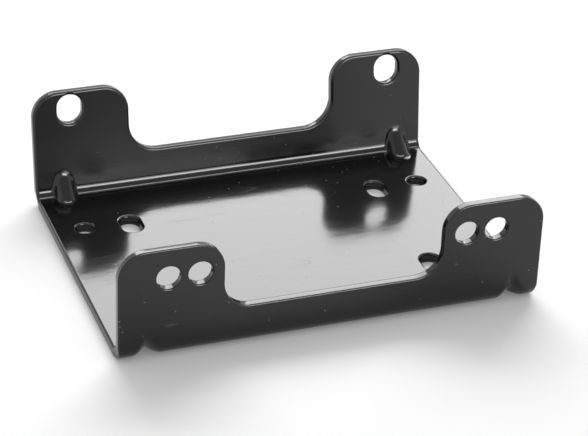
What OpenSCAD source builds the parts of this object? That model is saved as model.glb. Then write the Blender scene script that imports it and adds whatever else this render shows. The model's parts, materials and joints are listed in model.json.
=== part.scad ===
// Winch mounting plate: one steel sheet folded into an open channel.
// The winch bolts down on the base, the front lugs carry the fairlead
// and the rear lugs are bolted to the vehicle.
// Origin: underside of the base, midway between the two folds.
// Each fold is drawn round its own centre line, where the straight sheet begins.
// +X runs along the folds, -Y is the fairlead side, +Z is up.

/* [Sheet] */
// Length of the plate along its folds
plate_w = 198; // [188:1:240]
// Flat depth of the base, from the centre line of one fold to the other
flat_d = 133.4; // [110:0.1:170]
// Thickness of the steel sheet
sheet_t = 4.6; // [3:0.1:5]
// Inner radius of both folds
fold_r = 3.2; // [2:0.1:5]

/* [Front flange] */
// Height of the front lugs, from the underside of the base
front_lug_h = 54.5; // [48:0.5:75]
// Height of the low wall between the front lugs
front_wall_h = 20.5; // [14:0.5:26]
// Gap between the front lugs
front_gap = 102; // [70:1:108]
// Radius of the hollow corners at the foot of the front lugs
front_fillet_r = 12.7; // [4:0.1:15]

/* [Rear flange] */
// Angle by which the rear flange leans back from upright
rear_lean = 6.5; // [0:0.5:12]
// Straight length of the rear lugs, from the fold's centre line
rear_lug_l = 49.5; // [49:0.1:70]
// Straight length of the low wall between the rear lugs
rear_wall_l = 14.6; // [8:0.1:20]
// Gap between the rear lugs
rear_gap = 103.2; // [70:1:110]
// Radius of the hollow corners at the foot of the rear lugs
rear_fillet_r = 14; // [4:0.1:16]

/* [Lug corners] */
// Radius of the rounded top corners of all lugs
lug_corner_r = 12.7; // [4:0.1:14]

/* [Fairlead holes] */
// Diameter of the four round holes in the front lugs
fairlead_d = 11.1; // [8:0.1:13]
// Height of these holes above the underside of the base
fairlead_h = 40.4; // [36:0.1:44]
// Distance between the outer two holes
fairlead_outer = 152.4; // [150:0.1:158]
// Distance between the inner two holes
fairlead_inner = 123.8; // [122:0.1:126]

/* [Rear lug slots] */
// Width of the upright slot in each rear lug
rear_slot_w = 12.5; // [8:0.1:14]
// Full length of that slot
rear_slot_l = 15.8; // [14.5:0.1:24]
// Distance of its centre up the flange, from the fold's centre line
rear_slot_up = 40.5; // [26:0.1:40.5]
// Distance of its centre from the end of the plate
rear_slot_edge = 18.3; // [16:0.1:28]

/* [Winch slots] */
// Width of the four long slots in the base
winch_slot_w = 9.4; // [7:0.1:12]
// Full length of these slots
winch_slot_l = 15; // [13:0.1:24]
// Distance between slot centres along the folds
winch_slot_x = 124.4; // [118:0.1:135]
// Distance between slot centres from front to rear
winch_slot_y = 72; // [55:0.1:76]

/* [Winch holes] */
// Diameter of the four round holes in the base
winch_hole_d = 8.6; // [6:0.1:11]
// Distance between hole centres along the folds
winch_hole_x = 168.2; // [156:0.1:170]
// Distance between hole centres from front to rear
winch_hole_y = 76.2; // [60:0.1:80]
// How far both winch patterns sit in front of the middle of the base
winch_shift = 2.1; // [0:0.1:4]

/* [Gussets] */
// Distance of the left gussets from the left end of the plate
gusset_edge_left = 13.8; // [11:0.1:20]
// Distance of the right gussets from the right end of the plate
gusset_edge_right = 11.3; // [11:0.1:20]
// Reach of a gusset along the base and up the flange
gusset_reach = 11.5; // [8:0.1:14]
// Radius of the rounded crest of a gusset
gusset_r = 7.3; // [6:0.1:9]
// Radius at the bottom of the hollow behind a gusset
hollow_r = 2; // [1:0.1:3]
// Angle of each flank of that hollow from its middle
hollow_flank = 42; // [30:1:48]

/* [Fold ends] */
// How far bending has drawn in the outer skin at each end of a fold
draw_in = 0.7; // [0.3:0.1:1.5]
// Half the length of sheet that is drawn in, across the fold
draw_half = 9; // [6:0.5:12]
// Share of the sheet's thickness that is drawn in, from its outer skin
draw_share = 0.75; // [0.5:0.05:0.9]

/* [Hidden] */
$fn = 96;

// Outer radius of a fold, and how far a cutter passes beyond the sheet
fold_out = fold_r + sheet_t;
past = 2;

// Height above the folds to which the sheet stands before its lugs are cut
blank_h = max(front_lug_h, rear_lug_l) + past;

// Length of the sheet before its ends are cut square
blank_w = plate_w + 2 * past;

// Hair by which pieces of sheet overlap where they run into each other, and
// how deep the round of a fold is tucked into the flat sheet on both sides
hair = 0.01;
tuck = 0.1;

// Length of the rods and grooves that make a gusset, along its slant
gusset_span = 6 * gusset_r;

// Depth of a cutter that passes through a fold from outside
fold_through = 2 * fold_out;

// Half of the angle inside a fold whose flange leans back
function half_angle(lean) = 45 + lean / 2;

// Distance of a gusset's crest inwards from the centre line of its fold
function crest(lean) = gusset_reach * cos(half_angle(lean)) - fold_r / sin(half_angle(lean));

// Frame of one fold: origin on its centre line, +Y inwards along the base
module at_front() {
    translate([0, -flat_d / 2, fold_out]) children();
}

module at_rear() {
    mirror([0, 1, 0]) at_front() children();
}

// Frame of a flange: origin on the fold's centre line, +Z up the flange
module up_flange(lean) {
    rotate([lean, 0, 0]) children();
}

// Frame of the diagonal through a fold: origin on its centre line, +Y
// inwards, +Z square to it from the base to the flange
module on_diagonal(lean) {
    rotate([half_angle(lean), 0, 0]) children();
}

// Full rod along the centre line of a fold
module fold_rod(r) {
    rotate([0, 90, 0]) cylinder(h = blank_w, r = r, center = true);
}

// Block on the outer side of a frame's origin, longer than the plate
module outer_block() {
    translate([-blank_w, -blank_w, -blank_w]) cube([2 * blank_w, blank_w, 2 * blank_w]);
}

// One fold and the full flange above it
module folded_side(lean) {
    intersection() {
        difference() {
            fold_rod(fold_out - hair);
            fold_rod(fold_r + hair);
        }
        translate([0, tuck, 0]) outer_block();
        up_flange(lean) rotate([90, 0, 0]) translate([0, tuck, 0]) outer_block();
    }
    up_flange(lean) translate([-blank_w / 2, -fold_out, 0]) cube([blank_w, sheet_t, blank_h]);
}

// Outline of the two lugs of a flange, drawn in X and height
module lugs(gap, wall_h, lug_h, fillet_r) {
    lug_w = (plate_w - gap) / 2;
    for (side = [0, 1]) mirror([side, 0]) translate([gap / 2, 0]) {
        translate([0, wall_h - past])
            square([lug_w + past, lug_h - lug_corner_r - wall_h + past]);
        translate([lug_corner_r, wall_h])
            square([lug_w - 2 * lug_corner_r, lug_h - wall_h]);
        for (x = [lug_corner_r, lug_w - lug_corner_r])
            translate([x, lug_h - lug_corner_r]) circle(lug_corner_r);
        difference() {
            translate([-fillet_r, wall_h - past]) square([fillet_r + past, fillet_r + past]);
            translate([-fillet_r, wall_h + fillet_r]) circle(fillet_r);
        }
    }
}

// What is cut from the top of a flange to leave its lugs and low wall
module flange_cut(lean, gap, wall_h, lug_h, fillet_r) {
    up_flange(lean) through_sheet() difference() {
        translate([-plate_w / 2 - past, wall_h])
            square([plate_w + 2 * past, blank_h + past - wall_h]);
        lugs(gap, wall_h, lug_h, fillet_r);
    }
}

// Flat shape drawn in X and height, made into a cutter through a flange
module through_sheet() {
    translate([0, past - fold_r, 0]) rotate([90, 0, 0])
        linear_extrude(sheet_t + 2 * past) children();
}

// Straight slot through the base, its length along Y
module slot(w, l) {
    translate([0, 0, -past]) {
        for (end = [-1, 1]) translate([0, end * (l - w) / 2, 0])
            cylinder(h = sheet_t + 2 * past, d = w);
        translate([-w / 2, -(l - w) / 2, 0]) cube([w, l - w, sheet_t + 2 * past]);
    }
}

module fairlead_holes() {
    for (x = [-fairlead_outer, -fairlead_inner, fairlead_inner, fairlead_outer] / 2)
        translate([x, -fold_out - past, fairlead_h - fold_out]) rotate([-90, 0, 0])
            cylinder(h = sheet_t + 2 * past, d = fairlead_d);
}

module rear_slots() {
    slot_x = plate_w / 2 - rear_slot_edge;
    for (x = [-slot_x, slot_x])
        up_flange(rear_lean) translate([x, -fold_r, rear_slot_up]) rotate([90, 0, 0])
            slot(rear_slot_w, rear_slot_l);
}

module winch_fixings() {
    for (x = [-1, 1], y = [-1, 1]) translate([0, -winch_shift, 0]) {
        translate([x * winch_slot_x / 2, y * winch_slot_y / 2, 0])
            slot(winch_slot_w, winch_slot_l);
        translate([x * winch_hole_x / 2, y * winch_hole_y / 2, -past])
            cylinder(h = sheet_t + 2 * past, d = winch_hole_d);
    }
}

// Places of the left and right gusset along a fold
module at_gussets() {
    for (x = [gusset_edge_left - plate_w / 2, plate_w / 2 - gusset_edge_right])
        translate([x, 0, 0]) children();
}

// Raised side of the gussets: a round rib slanting across the inside of a
// fold, rooted halfway into the sheet
module ribs(lean) {
    root = fold_r + sheet_t / 4;
    block = [gusset_span, gusset_span, gusset_span];
    at_gussets() intersection() {
        on_diagonal(lean) translate([0, crest(lean) - gusset_r, 0])
            cylinder(h = gusset_span, r = gusset_r, center = true);
        translate([-gusset_span / 2, -root, -root]) cube(block);
        up_flange(lean) translate([-gusset_span / 2, -root, -root]) cube(block);
    }
}

// Pressed side: a groove with a round bottom and straight flanks, one sheet
// behind the rib's crest
module hollows(lean) {
    mid = crest(lean) - sheet_t - hollow_r;
    touch_x = (hollow_r + hair) * cos(hollow_flank);
    touch_y = mid + (hollow_r + hair) * sin(hollow_flank);
    open_y = -fold_through;
    mouth = touch_x + (touch_y - open_y) * tan(hollow_flank);
    at_gussets() on_diagonal(lean) linear_extrude(gusset_span, center = true) {
        translate([0, mid]) circle(hollow_r);
        polygon([[-mouth, open_y], [mouth, open_y], [touch_x, touch_y], [-touch_x, touch_y]]);
    }
}

// Shallow dips at both ends of a fold, deepest in the outer skin, which
// draws in as it stretches round the fold
module drawn_ends(lean) {
    dip_r = (draw_in ^ 2 + draw_half ^ 2) / (2 * draw_in);
    slant = atan(draw_in / (draw_share * sheet_t));
    for (side = [0, 1]) mirror([side, 0, 0])
        on_diagonal(lean) translate([plate_w / 2 - draw_in, -fold_out, 0])
            rotate([0, 0, -slant]) translate([dip_r, 0, 0]) rotate([90, 0, 0])
                cylinder(h = 2 * fold_through, r = dip_r, center = true);
}

// The folded sheet with full flanges and its gussets raised inside, its
// ends cut square
module folded_sheet() {
    intersection() {
        union() {
            translate([-blank_w / 2, -flat_d / 2, 0]) cube([blank_w, flat_d, sheet_t]);
            at_front() folded_side(0);
            at_rear() folded_side(rear_lean);
        }
        translate([-plate_w / 2, -blank_w, -past]) cube([plate_w, 2 * blank_w, 2 * blank_h]);
    }
    at_front() ribs(0);
    at_rear() ribs(rear_lean);
}

module mounting_plate() {
    color([0.07, 0.07, 0.075]) difference() {
        folded_sheet();
        at_front() {
            flange_cut(0, front_gap, front_wall_h - fold_out, front_lug_h - fold_out,
                front_fillet_r);
            fairlead_holes();
            hollows(0);
            drawn_ends(0);
        }
        at_rear() {
            flange_cut(rear_lean, rear_gap, rear_wall_l, rear_lug_l, rear_fillet_r);
            rear_slots();
            hollows(rear_lean);
            drawn_ends(rear_lean);
        }
        winch_fixings();
    }
}

mounting_plate();
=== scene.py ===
import json
import math

import bmesh
import bpy
from mathutils import Matrix, Vector


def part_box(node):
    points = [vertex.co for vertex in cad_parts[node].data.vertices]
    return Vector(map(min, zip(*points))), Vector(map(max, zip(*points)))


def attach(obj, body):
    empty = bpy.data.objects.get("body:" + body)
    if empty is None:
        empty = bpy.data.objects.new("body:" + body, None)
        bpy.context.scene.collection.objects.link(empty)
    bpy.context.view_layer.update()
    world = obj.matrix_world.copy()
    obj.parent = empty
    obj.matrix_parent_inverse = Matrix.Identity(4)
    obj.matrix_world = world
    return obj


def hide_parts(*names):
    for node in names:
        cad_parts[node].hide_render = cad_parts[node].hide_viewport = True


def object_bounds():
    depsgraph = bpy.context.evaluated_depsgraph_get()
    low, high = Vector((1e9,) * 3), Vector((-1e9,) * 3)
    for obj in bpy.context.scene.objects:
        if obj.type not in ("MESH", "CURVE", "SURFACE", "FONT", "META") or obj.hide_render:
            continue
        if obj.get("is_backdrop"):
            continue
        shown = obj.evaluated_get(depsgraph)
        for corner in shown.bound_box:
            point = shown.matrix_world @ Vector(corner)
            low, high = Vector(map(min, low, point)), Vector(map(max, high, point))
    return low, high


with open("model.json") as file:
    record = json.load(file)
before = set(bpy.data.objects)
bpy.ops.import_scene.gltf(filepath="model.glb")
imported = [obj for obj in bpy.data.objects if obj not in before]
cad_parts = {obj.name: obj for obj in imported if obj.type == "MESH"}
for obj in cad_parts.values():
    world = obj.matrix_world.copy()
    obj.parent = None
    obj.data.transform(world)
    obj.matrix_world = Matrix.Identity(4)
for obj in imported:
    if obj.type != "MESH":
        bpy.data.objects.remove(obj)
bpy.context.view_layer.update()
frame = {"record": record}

# The photograph's viewpoint: a long lens a good metre away, in front and a
# little to the left of the plate, looking down on it by 30 degrees.
photo_width = 588
photo_height = 436
focal_px = 2389.0
axis_px = Vector((293.23, 217.14))
view_azimuth = math.radians(-20.482)
view_elevation = math.radians(29.962)
view_roll = math.radians(2.292)
view_place = Vector((-0.33175, -0.90653, 0.57387))

sensor_mm = 36

camera_data = bpy.data.cameras.new("photo_camera")
camera_data.sensor_width = sensor_mm
camera_data.lens = sensor_mm * focal_px / photo_width
camera_data.shift_x = (photo_width / 2 - axis_px.x) / photo_width
camera_data.shift_y = (axis_px.y - photo_height / 2) / photo_width
camera_data.clip_start = 0.05
camera_data.clip_end = 50
camera = bpy.data.objects.new("photo_camera", camera_data)
bpy.context.scene.collection.objects.link(camera)
back = Vector((
    math.sin(view_azimuth) * math.cos(view_elevation),
    -math.cos(view_azimuth) * math.cos(view_elevation),
    math.sin(view_elevation),
))
level = Vector((math.cos(view_azimuth), math.sin(view_azimuth), 0))
upright = back.cross(level)
right = math.cos(view_roll) * level + math.sin(view_roll) * upright
up = math.cos(view_roll) * upright - math.sin(view_roll) * level
turned = Matrix((right, up, back)).transposed().to_4x4()
camera.matrix_world = Matrix.Translation(view_place) @ turned
bpy.context.scene.camera = camera

# The plate: one blank of 4.6 mm steel sheet, cut and pierced flat, then
# folded up at the front and rear. A rib is pressed across each fold near
# both ends, and the coat rounds the cut edges.
plate_name = "mounting_plate"
low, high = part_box(plate_name)
mounts = {mount["name"]: mount for mount in frame["record"]["mounts"]}
mm = 0.001

half_length = (high.x - low.x) / 2
sheet = mounts["winch_seat"]["pos_m"][2]
inner_radius = 3.2 * mm
outer_radius = inner_radius + sheet
half_flat = -low.y - outer_radius
rear_lean = math.asin(-mounts["rear_lug_slots"]["axis"][2])
lug_corner = 12.7 * mm
outer_edge_round = 0.8 * mm
inner_edge_round = 1.3 * mm

# Lugs and low walls are measured up the straight part of each flange.
front_lug = 54.5 * mm - outer_radius
front_wall = 20.5 * mm - outer_radius
front_gap = 102 * mm
front_foot = 12.7 * mm
rear_lug = (high.z - outer_radius + inner_radius * math.sin(rear_lean)) / math.cos(rear_lean)
rear_wall = 14.6 * mm
rear_gap = 103.2 * mm
rear_foot = 14 * mm
rear_slot_width = 12.2 * mm
rear_slot_length = 14.6 * mm
rear_slot_up = 40.3 * mm
rear_slot_inset = 18.3 * mm

# Each fold is laid out flat at the radius of its middle layer.
flat_radius = inner_radius + sheet / 2
front_turn = math.radians(90)
rear_turn = math.radians(90) - rear_lean


def turn_of(side):
    """Angle through which a flange is folded: side is -1 at the front and 1 at the rear."""
    return rear_turn if side > 0 else front_turn


def up_flange(side, length):
    """Place in the flat blank of a point this far up the straight part of a flange."""
    return side * (half_flat + flat_radius * turn_of(side) + length)


arc_step = 5


def arc(x, y, radius, start, end):
    """Points along an arc, from one angle to another in degrees."""
    steps = round(abs(end - start) / arc_step)
    turns = [math.radians(start + (end - start) * i / steps) for i in range(steps + 1)]
    return [(x + radius * math.cos(turn), y + radius * math.sin(turn)) for turn in turns]


def free_edge(side, gap, wall, lug, foot):
    """Free edge of a flange in the flat blank, from the right end of the plate to the left."""
    half = (
        arc(half_length - lug_corner, lug - lug_corner, lug_corner, 0, 90)
        + arc(gap / 2 + lug_corner, lug - lug_corner, lug_corner, 90, 180)
        + arc(gap / 2 - foot, wall + foot, foot, 0, -90)
    )
    right_half = [(x, up_flange(side, length)) for x, length in half]
    left_half = [(-x, y) for x, y in reversed(right_half)]
    return right_half + left_half


def slot(x, y, width, length):
    """Outline of a slot with round ends, its length along Y, or of a round hole if both sizes are equal."""
    reach = (length - width) / 2
    upper_end = arc(x, y + reach, width / 2, 0, 180 - arc_step)
    lower_end = arc(x, y - reach, width / 2, 180, 360 - arc_step)
    return upper_end + lower_end


openings = []
for name in ("fairlead_outer", "fairlead_inner"):
    dims = mounts[name]["dims"]
    width = 2 * dims["hole_r_mm"] * mm
    up_wall = mounts[name]["pos_m"][2] - outer_radius
    half_x = dims["spacing_x_mm"] / 2 * mm
    for x in (-half_x, half_x):
        openings.append(slot(x, up_flange(-1, up_wall), width, width))
for name in ("winch_slots_left", "winch_slots_right", "winch_holes"):
    dims = mounts[name]["dims"]
    middle = Vector(mounts[name]["pos_m"])
    width = 2 * dims["hole_r_mm"] * mm
    length = dims.get("slot_length_mm", width / mm) * mm
    half_x = dims.get("spacing_x_mm", 0) / 2 * mm
    half_y = dims["spacing_y_mm"] / 2 * mm
    for x in sorted({-half_x, half_x}):
        for y in (-half_y, half_y):
            openings.append(slot(middle.x + x, middle.y + y, width, length))
rear_slot_x = half_length - rear_slot_inset
for x in (-rear_slot_x, rear_slot_x):
    openings.append(slot(x, up_flange(1, rear_slot_up), rear_slot_width, rear_slot_length))


def add_loop(shape, points):
    """Adds a closed line through these points of the flat blank."""
    corners = [shape.verts.new((x, y, 0)) for x, y in points]
    for i, corner in enumerate(corners):
        shape.edges.new((corners[i - 1], corner))


# A cut this near to a corner goes through the corner.
snap = 0.04 * mm


def everywhere(centre):
    """True in the whole blank."""
    return True


def cut_across(shape, axis, place, inside=everywhere):
    """Cuts the faces inside a region along a line of the blank: axis 0 is a line of one X, 1 of one Y."""
    faces = [face for face in shape.faces if inside(face.calc_center_median())]
    edges = {edge for face in faces for edge in face.edges}
    corners = {vert for face in faces for vert in face.verts}
    parts = faces + list(edges | corners)
    normal = (1, 0, 0) if axis == 0 else (0, 1, 0)
    point = (place, 0, 0) if axis == 0 else (0, place, 0)
    bmesh.ops.bisect_plane(shape, geom=parts, dist=snap, plane_co=point, plane_no=normal)


blank = bmesh.new()
rear_edge = free_edge(1, rear_gap, rear_wall, rear_lug, rear_foot)
front_edge = free_edge(-1, front_gap, front_wall, front_lug, front_foot)
add_loop(blank, rear_edge + front_edge[::-1])
for opening in openings:
    add_loop(blank, opening)
bmesh.ops.triangle_fill(blank, use_beauty=True, edges=blank.edges[:], normal=(0, 0, 1))

# Straight cuts through every hole, along the folds and round the ribs leave
# faces with no hole in them, so the slanting edges of the filling can go.
gusset_x = (-85.2 * mm, 86.4 * mm)
gusset_half_width = 12 * mm
gusset_run = 17 * mm
fold_lines = [
    side * (half_flat + past)
    for side in (-1, 1)
    for past in (0, flat_radius * turn_of(side))
]
run_lines = [side * (half_flat - gusset_run) for side in (-1, 1)]
run_lines += [up_flange(side, gusset_run) for side in (-1, 1)]
hole_middles = [
    (sum(x for x, y in opening) / len(opening), sum(y for x, y in opening) / len(opening))
    for opening in openings
]
press_margin = 1.8 * mm
end_of_press = half_length - press_margin
press_spans = [
    (max(-end_of_press, x - gusset_half_width), min(end_of_press, x + gusset_half_width))
    for x in gusset_x
]


def by_fold(centre):
    """True in the strips along both folds that the ribs reach."""
    return half_flat - gusset_run < abs(centre.y) < abs(up_flange(math.copysign(1, centre.y), gusset_run))


lines = [(1, y) for y in fold_lines + run_lines]
for axis, place in lines:
    cut_across(blank, axis, place)
for x in sum(press_spans, ()):
    cut_across(blank, 0, x, by_fold)
    lines.append((0, x))


def part_of(y):
    """The part of the blank at this Y: -1 the front flange, 0 the base, 1 the rear flange."""
    return (y > half_flat) - (y < -half_flat)


for middle in hole_middles:
    own_part = part_of(middle[1])
    for axis in (0, 1):
        cut_across(blank, axis, middle[axis], lambda centre: part_of(centre.y) == own_part)
        lines.append((axis, middle[axis]))

line_width = 1.5 * snap
straight = math.radians(175)


def filling(edge):
    """True for an inner edge that lies on none of the straight cuts."""
    start, end = (vert.co for vert in edge.verts)
    on_line = any(
        max(abs(start[axis] - place), abs(end[axis] - place)) < line_width
        for axis, place in lines
    )
    return len(edge.link_faces) == 2 and not on_line


def needless(vert):
    """True for a point in the middle of one straight inner edge."""
    if len(vert.link_edges) != 2 or any(len(edge.link_faces) != 2 for edge in vert.link_edges):
        return False
    before, after = (edge.other_vert(vert).co - vert.co for edge in vert.link_edges)
    return before.angle(after) > straight


bmesh.ops.dissolve_edges(blank, edges=[edge for edge in blank.edges if filling(edge)], use_verts=False)
bmesh.ops.dissolve_verts(blank, verts=[vert for vert in blank.verts if needless(vert)])

# Close rows where the sheet bends, and a close net where the ribs are pressed.
fold_rows = 16
net = 0.55 * mm
corner_run = 2.4 * mm
corner_rows = 5
for side in (-1, 1):
    start, end = sorted((side * half_flat, up_flange(side, 0)))
    in_fold = lambda centre: start < centre.y < end
    for row in range(1, fold_rows):
        cut_across(blank, 1, start + (end - start) * row / fold_rows, in_fold)
    clear = lambda centre: all(not left < centre.x < far for left, far in press_spans)
    for row in range(1, corner_rows + 1):
        for y in (start - corner_run * row / corner_rows, end + corner_run * row / corner_rows):
            cut_across(blank, 1, y, clear)
    base_end, flange_end = sorted((side * (half_flat - gusset_run), up_flange(side, gusset_run)))
    for left, far in press_spans:
        in_press = lambda centre: base_end < centre.y < flange_end and left < centre.x < far
        columns = round((far - left) / net)
        for column in range(1, columns):
            cut_across(blank, 0, left + (far - left) * column / columns, in_press)
        for first, last in ((base_end, start), (end, flange_end)):
            rows = round((last - first) / net)
            in_part = lambda centre: first < centre.y < last and left < centre.x < far
            for row in range(1, rows):
                cut_across(blank, 1, first + (last - first) * row / rows, in_part)

# The blank gets its thickness, and the coat rounds its cut edges. Under the
# base, the holes and slots keep their sharp rims.
upper = bmesh.ops.extrude_face_region(blank, geom=blank.faces[:], use_keep_orig=True)["geom"]
upper_verts = [part for part in upper if isinstance(part, bmesh.types.BMVert)]
bmesh.ops.translate(blank, vec=(0, 0, sheet), verts=upper_verts)
bmesh.ops.recalc_face_normals(blank, faces=blank.faces[:])
rim_angle = math.radians(60)
rim_segments = 4
plate_end = 0.98 * half_length


def is_rim(edge, level):
    """True for a cut edge that lies in this skin of the sheet."""
    in_skin = all(abs(vert.co.z - level) < snap for vert in edge.verts)
    return in_skin and edge.calc_face_angle(0) > rim_angle


def round_base_hole(edge):
    """True for a rim of a hole or slot in the base."""
    corner = edge.verts[0].co
    return abs(corner.y) <= half_flat and abs(corner.x) <= plate_end


for level, edge_round in ((0, outer_edge_round), (sheet, inner_edge_round)):
    rims = [edge for edge in blank.edges if is_rim(edge, level)]
    if level == 0:
        rims = [rim for rim in rims if not round_base_hole(rim)]
    bmesh.ops.bevel(
        blank, geom=rims, offset=edge_round, offset_type="OFFSET", segments=rim_segments, profile=0.5,
        affect="EDGES", clamp_overlap=False, material=-1,
    )

# The press: ribs raised inside the folds with hollows behind them, a wider
# round in the inner corner, and fold ends that draw in at the outer skin.
crest_radius = 4.9 * mm
arch_half = 0.93 * crest_radius
gusset_reach = 10.8 * mm
hollow_radius = 2 * mm
hollow_flank = math.radians(32)
hollow_drop = 3 * mm
inner_blend = 2.4 * mm
outer_blend = 6 * mm
inner_round = 5 * mm
draw_in = 0.7 * mm
draw_half = 9 * mm
draw_radius = (draw_in ** 2 + draw_half ** 2) / (2 * draw_in)
draw_depth = 0.75 * sheet
draw_slant = draw_in / draw_depth
draw_fade = 5 * mm

# The top edge of the front left lug is cut a little off square.
shear_slant = math.tan(math.radians(4.5))
shear_level = 0.7 * sheet


def smooth_max(a, b, blend):
    """The larger of two values, rounded over where they are within the blend of each other."""
    closeness = max(blend - abs(a - b), 0) / blend
    return max(a, b) + closeness * closeness * blend / 4


def skin(across, radius, half_angle):
    """Depth of one skin of the folded sheet along the fold's diagonal, at a distance across it."""
    if abs(across) < radius * math.cos(half_angle):
        return -math.sqrt(radius ** 2 - across ** 2)
    return (abs(across) * math.cos(half_angle) - radius) / math.sin(half_angle)


def inner_skin(across, half_angle):
    """Depth of the inner skin, whose corner the press leaves with a wider round."""
    if abs(across) < inner_round * math.cos(half_angle):
        raised = (inner_round - inner_radius) / math.sin(half_angle)
        return raised - math.sqrt(inner_round ** 2 - across ** 2)
    return skin(across, inner_radius, half_angle)


def crest(half_angle):
    """Depth of a rib's crest along the fold's diagonal."""
    return gusset_reach * math.cos(half_angle) - inner_radius / math.sin(half_angle)


def rib(offset, half_angle):
    """Depth of a rib's round back at a distance along the fold from its middle."""
    arch = min(offset, arch_half)
    slope = arch_half / math.sqrt(crest_radius ** 2 - arch_half ** 2)
    round_depth = math.sqrt(crest_radius ** 2 - arch ** 2) - crest_radius
    return crest(half_angle) + round_depth - slope * (offset - arch)


def hollow(offset, half_angle):
    """Depth of the pressed hollow behind a rib, which has a round bottom and straight flanks."""
    middle = crest(half_angle) - sheet - hollow_radius - hollow_drop
    arch = min(offset, hollow_radius * math.cos(hollow_flank))
    return middle + math.sqrt(hollow_radius ** 2 - arch ** 2) - (offset - arch) / math.tan(hollow_flank)


def folded(point):
    """Where a point of the flat blank lies once the sheet is folded and its ribs are pressed."""
    side = 1 if point.y > 0 else -1
    past_flat = abs(point.y) - half_flat
    if past_flat < -gusset_run:
        return point.copy()
    turn = min(max(past_flat / flat_radius, 0), turn_of(side))
    rest = past_flat - flat_radius * turn
    radius = outer_radius - point.z
    inward = -radius * math.sin(turn) - rest * math.cos(turn)
    height = -radius * math.cos(turn) + rest * math.sin(turn)
    half_angle = (math.pi - turn_of(side)) / 2
    depth = inward * math.cos(half_angle) + height * math.sin(half_angle)
    across = height * math.cos(half_angle) - inward * math.sin(half_angle)
    offset = min(abs(point.x - x) for x in gusset_x)
    corner = inner_skin(across, half_angle)
    inner_push = corner - skin(across, inner_radius, half_angle)
    outer_push = 0
    if abs(across) < gusset_run and offset < gusset_half_width:
        outer = skin(across, outer_radius, half_angle)
        inner_push += smooth_max(corner, rib(offset, half_angle), inner_blend) - corner
        outer_push = smooth_max(outer, hollow(offset, half_angle), outer_blend) - outer
    share = point.z / sheet
    depth += inner_push * share + outer_push * (1 - share)
    x = point.x
    dip = draw_in - across ** 2 / (2 * draw_radius) - (depth + outer_radius) * draw_slant
    near_end = min(max((abs(x) - half_length + draw_fade) / draw_fade, 0), 1)
    x -= math.copysign(max(dip, 0) * near_end ** 2 * (3 - 2 * near_end), x)
    inward = depth * math.cos(half_angle) - across * math.sin(half_angle)
    height = depth * math.sin(half_angle) + across * math.cos(half_angle)
    if side < 0 and x < 0:
        near_top = min(max((rest - front_lug) / lug_corner + 1, 0), 1)
        height -= shear_slant * (point.z - shear_level) * near_top
    return Vector((x, side * (half_flat - inward), outer_radius + height))


for vert in blank.verts:
    vert.co = folded(vert.co)
for face in blank.faces:
    face.smooth = True
plate_mesh = bpy.data.meshes.new("folded_plate")
blank.to_mesh(plate_mesh)
blank.free()
plate = bpy.data.objects.new("folded_plate", plate_mesh)
bpy.context.scene.collection.objects.link(plate)
flats = plate.modifiers.new("flat_faces_stay_flat", "WEIGHTED_NORMAL")
flats.mode = "FACE_AREA"
flats.weight = 50
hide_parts(plate_name)
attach(plate, "root")

# The plate's gloss black coat on rolled sheet: nearly black and mirror-like,
# with a faint ripple, dust, hair scratches, and a rub mark and two chips.
coat = bpy.data.materials.new("black_coat")
coat.use_nodes = True


class Shade:
    """A shader socket that Python's operators work on, by adding Math nodes."""

    def __init__(self, tree, socket):
        self.tree = tree
        self.socket = socket

    def node(self, kind, settings, inputs, output=0):
        """Adds a node, makes its settings, fills or links its inputs, and gives one of its outputs."""
        made = self.tree.nodes.new("ShaderNode" + kind)
        for name, setting in settings.items():
            setattr(made, name, setting)
        for name, value in inputs.items():
            if isinstance(value, Shade):
                self.tree.links.new(value.socket, made.inputs[name])
            else:
                made.inputs[name].default_value = value
        return Shade(self.tree, made.outputs[output])

    def math(self, operation, *values):
        return self.node("Math", {"operation": operation}, dict(enumerate(values)))

    def __add__(self, other):
        return self.math("ADD", self, other)

    __radd__ = __add__

    def __mul__(self, other):
        return self.math("MULTIPLY", self, other)

    __rmul__ = __mul__

    def __sub__(self, other):
        return self.math("SUBTRACT", self, other)

    def __rsub__(self, other):
        return self.math("SUBTRACT", other, self)

    def __abs__(self):
        return self.math("ABSOLUTE", self)


tree = coat.node_tree
tree.nodes.clear()
output = tree.nodes.new("ShaderNodeOutputMaterial")
place_node = tree.nodes.new("ShaderNodeTexCoord")
place = Shade(tree, place_node.outputs["Object"])


def near(point, reach):
    """1 at a point of the plate, fading to 0 at this reach along X, Y and Z; both in millimetres."""
    scale = [1 / (length * mm) for length in reach]
    move = [-at / length for at, length in zip(point, reach)]
    local = place.node("Mapping", {}, {"Vector": place, "Location": move, "Scale": scale})
    far_off = place.node("VectorMath", {"operation": "LENGTH"}, {0: local}, "Value")
    full_until = 0.3
    return place.node("MapRange", {"interpolation_type": "SMOOTHSTEP"}, {
        "Value": far_off, "From Min": full_until, "From Max": 1, "To Min": 1, "To Max": 0,
    }, "Result")


def above(value, start, end):
    """0 where a value is below the start, rising smoothly to 1 at the end."""
    return place.node("MapRange", {"interpolation_type": "SMOOTHSTEP"}, {
        "Value": value, "From Min": start, "From Max": end,
    }, "Result")


def noise(vector, cells, detail, fineness):
    """Smooth noise between 0 and 1 of this many cells to the metre, with smaller ones added."""
    return place.node("TexNoise", {}, {
        "Vector": vector, "Scale": cells, "Detail": detail, "Roughness": fineness,
    }, "Fac")


def drawn_out(share):
    """The place on the plate with X shrunk to a share, so that a pattern comes out long along X."""
    return place.node("Mapping", {}, {"Vector": place, "Scale": (share, 1, 1)})


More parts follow.
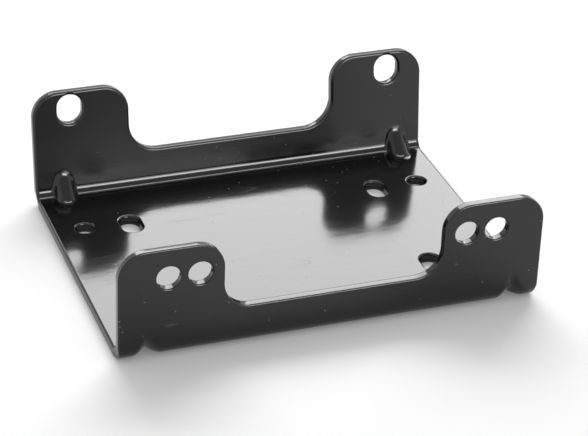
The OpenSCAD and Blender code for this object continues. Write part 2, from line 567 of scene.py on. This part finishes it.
# Ripple of the rolled sheet, longer along X, and the fine pebble of the coat.
ripple_height = 0.05 * mm
ripple_shrink = 0.45
pebble_height = 0.009 * mm
ripple = noise(drawn_out(ripple_shrink), cells=150, detail=2, fineness=0.5)
pebble = noise(place, cells=900, detail=2, fineness=0.5)
relief = ripple_height * ripple + pebble_height * pebble
normal = place.node("Bump", {}, {"Height": relief, "Strength": 1, "Distance": 1}, "Normal")

# Dust grains, each in its own cell, and broken hair scratches along the sheet.
dust_cells = 150
dust_core = 0.25 * mm
dust_rim = 0.4 * mm
grain = place.node("TexVoronoi", {}, {"Vector": place, "Scale": dust_cells}, "Distance")
dust = 1 - above(grain, dust_core * dust_cells, dust_rim * dust_cells)
hair_shrink = 0.12
hair_core = 0.001
hair_rim = 0.0035
broken_below = 0.5
whole_above = 0.62
wander = noise(drawn_out(hair_shrink), cells=55, detail=1, fineness=0.4)
hair = 1 - above(abs(wander - 0.5), hair_core, hair_rim)
unbroken = above(noise(place, cells=30, detail=3, fineness=0.5), broken_below, whole_above)
scratch = hair * unbroken

# The rub mark low on the front face, and two chips at its left end.
rub_place = (-75.3, -74.5, 16.7)
rub_reach = (4, 2, 0.8)
upper_chip_place = (-98.4, -74.3, 22.3)
upper_chip_reach = (0.8, 1, 0.4)
lower_chip_place = (-98.1, -74.3, 19.7)
lower_chip_reach = (0.6, 1, 0.4)
rub_strength = 0.25
chips = near(upper_chip_place, upper_chip_reach) + near(lower_chip_place, lower_chip_reach)
bare = dust.math("MINIMUM", dust + chips + rub_strength * near(rub_place, rub_reach), 1)
black = (0.006, 0.006, 0.0063, 1)
dusty_grey = (0.17, 0.17, 0.165, 1)
colour = place.node("Mix", {"data_type": "RGBA"}, {0: bare, 6: black, 7: dusty_grey}, 2)

# The coat lies smooth on the base and the edges, and rougher on the faces
# of the flanges.
smooth_up_to = sheet + 6 * mm
rough_from = sheet + 14 * mm
edge_facing = 0.93
flange_facing = 0.99
height = place.node("SeparateXYZ", {}, {"Vector": place}, "Z")
facing = Shade(tree, place_node.outputs["Normal"])
to_front = abs(place.node("SeparateXYZ", {}, {"Vector": facing}, "Y"))
standing = above(height, smooth_up_to, rough_from) * above(to_front, edge_facing, flange_facing)
patches = noise(place, cells=60, detail=4, fineness=0.6)
smoothest = 0.10
patch_roughness = 0.05
flange_roughness = 0.17
scratch_roughness = 0.12
dust_roughness = 0.5
rough = (
    smoothest + patch_roughness * patches + flange_roughness * standing
    + scratch_roughness * scratch + dust_roughness * bare
)
surface = place.node("BsdfPrincipled", {}, {
    "Base Color": colour,
    "Roughness": rough,
    "Normal": normal,
})
tree.links.new(surface.socket, output.inputs["Surface"])
plate_mesh.materials.append(coat)

# The matt white table that the plate stands on. It glows a little by itself,
# to the camera and in the plate's gloss only, so the plate keeps its shadow.
table_half_side = 6
table_drop = 0.1 * mm
table_white = (0.94, 0.94, 0.94, 1)
pure_white = (1, 1, 1, 1)
table_glow = 0.12

table_mesh = bpy.data.meshes.new("table")
table_shape = bmesh.new()
bmesh.ops.create_grid(table_shape, x_segments=1, y_segments=1, size=table_half_side)
bmesh.ops.translate(table_shape, vec=(0, 0, -table_drop), verts=table_shape.verts[:])
table_shape.to_mesh(table_mesh)
table_shape.free()
table = bpy.data.objects.new("table", table_mesh)
bpy.context.scene.collection.objects.link(table)
table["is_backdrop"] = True
white = bpy.data.materials.new("white_table")
white.use_nodes = True
tree = white.node_tree
tree.nodes.clear()
output = tree.nodes.new("ShaderNodeOutputMaterial")
light_path = tree.nodes.new("ShaderNodeLightPath")
seen = Shade(tree, light_path.outputs["Is Camera Ray"])
mirrored = Shade(tree, light_path.outputs["Is Glossy Ray"])
matt = seen.node("BsdfDiffuse", {}, {"Color": table_white}, "BSDF")
glow = seen.node("Emission", {}, {"Color": pure_white, "Strength": 1}, "Emission")
lifted = seen.node("MixShader", {}, {0: (seen + mirrored) * table_glow, 1: matt, 2: glow})
tree.links.new(lifted.socket, output.inputs["Surface"])
table_mesh.materials.append(white)

# The studio: weak light from all round, which the camera and the gloss see
# as white, but for a dark ceiling in the gloss.
fill = 0.6
ceiling_from = 0.5
ceiling_to = 0.75
ceiling_dark = 0.9

world = bpy.data.worlds.new("studio")
bpy.context.scene.world = world
world.use_nodes = True
tree = world.node_tree
tree.nodes.clear()
output = tree.nodes.new("ShaderNodeOutputWorld")
light_path = tree.nodes.new("ShaderNodeLightPath")
seen = Shade(tree, light_path.outputs["Is Camera Ray"])
mirrored = Shade(tree, light_path.outputs["Is Glossy Ray"])
through = Shade(tree, light_path.outputs["Is Transmission Ray"])
direction = Shade(tree, tree.nodes.new("ShaderNodeTexCoord").outputs["Generated"])
rise = seen.node("SeparateXYZ", {}, {"Vector": direction}, "Z")
ceiling = seen.node("MapRange", {}, {
    "Value": rise, "From Min": ceiling_from, "From Max": ceiling_to, "To Max": ceiling_dark,
}, "Result")
shown = seen.math("MAXIMUM", seen.math("MAXIMUM", seen, mirrored * (1 - ceiling)), through)
strength = fill + (1 - fill) * shown
around = seen.node("Background", {}, {"Color": pure_white, "Strength": strength}, "Background")
tree.links.new(around.socket, output.inputs["Surface"])


# The lamps: a large soft light behind and above, and three that show in the
# gloss only, a strip overhead and a light and a weaker card low in front.
def soft_light(name, azimuth, elevation, distance, width, height, radiance, lights_matt=True):
    """A rectangle of light that faces the plate; the azimuth turns from the rear towards +X, in degrees."""
    lamp = bpy.data.lights.new(name, "AREA")
    lamp.shape = "RECTANGLE"
    lamp.size = width
    lamp.size_y = height
    lamp.energy = radiance * width * height * math.pi
    piece = bpy.data.objects.new(name, lamp)
    bpy.context.scene.collection.objects.link(piece)
    turn = math.radians(azimuth)
    rise = math.radians(elevation)
    towards = Vector((math.sin(turn) * math.cos(rise), math.cos(turn) * math.cos(rise), math.sin(rise)))
    piece.location = towards * distance
    piece.rotation_euler = towards.to_track_quat("Z", "Y").to_euler()
    piece.visible_camera = False
    piece.visible_diffuse = lights_matt


soft_light(
    "back_light", azimuth=20, elevation=39.5, distance=2, width=2, height=1.1, radiance=6,
)
soft_light(
    "top_strip", azimuth=0, elevation=88, distance=2, width=2.4, height=0.3, radiance=7,
    lights_matt=False,
)
soft_light(
    "front_light", azimuth=163, elevation=27, distance=1.5, width=0.8, height=0.42, radiance=13,
    lights_matt=False,
)
soft_light(
    "front_card", azimuth=163, elevation=11, distance=1.5, width=1, height=0.4, radiance=3,
    lights_matt=False,
)

bpy.context.scene.view_settings.view_transform = "Standard"

low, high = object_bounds()
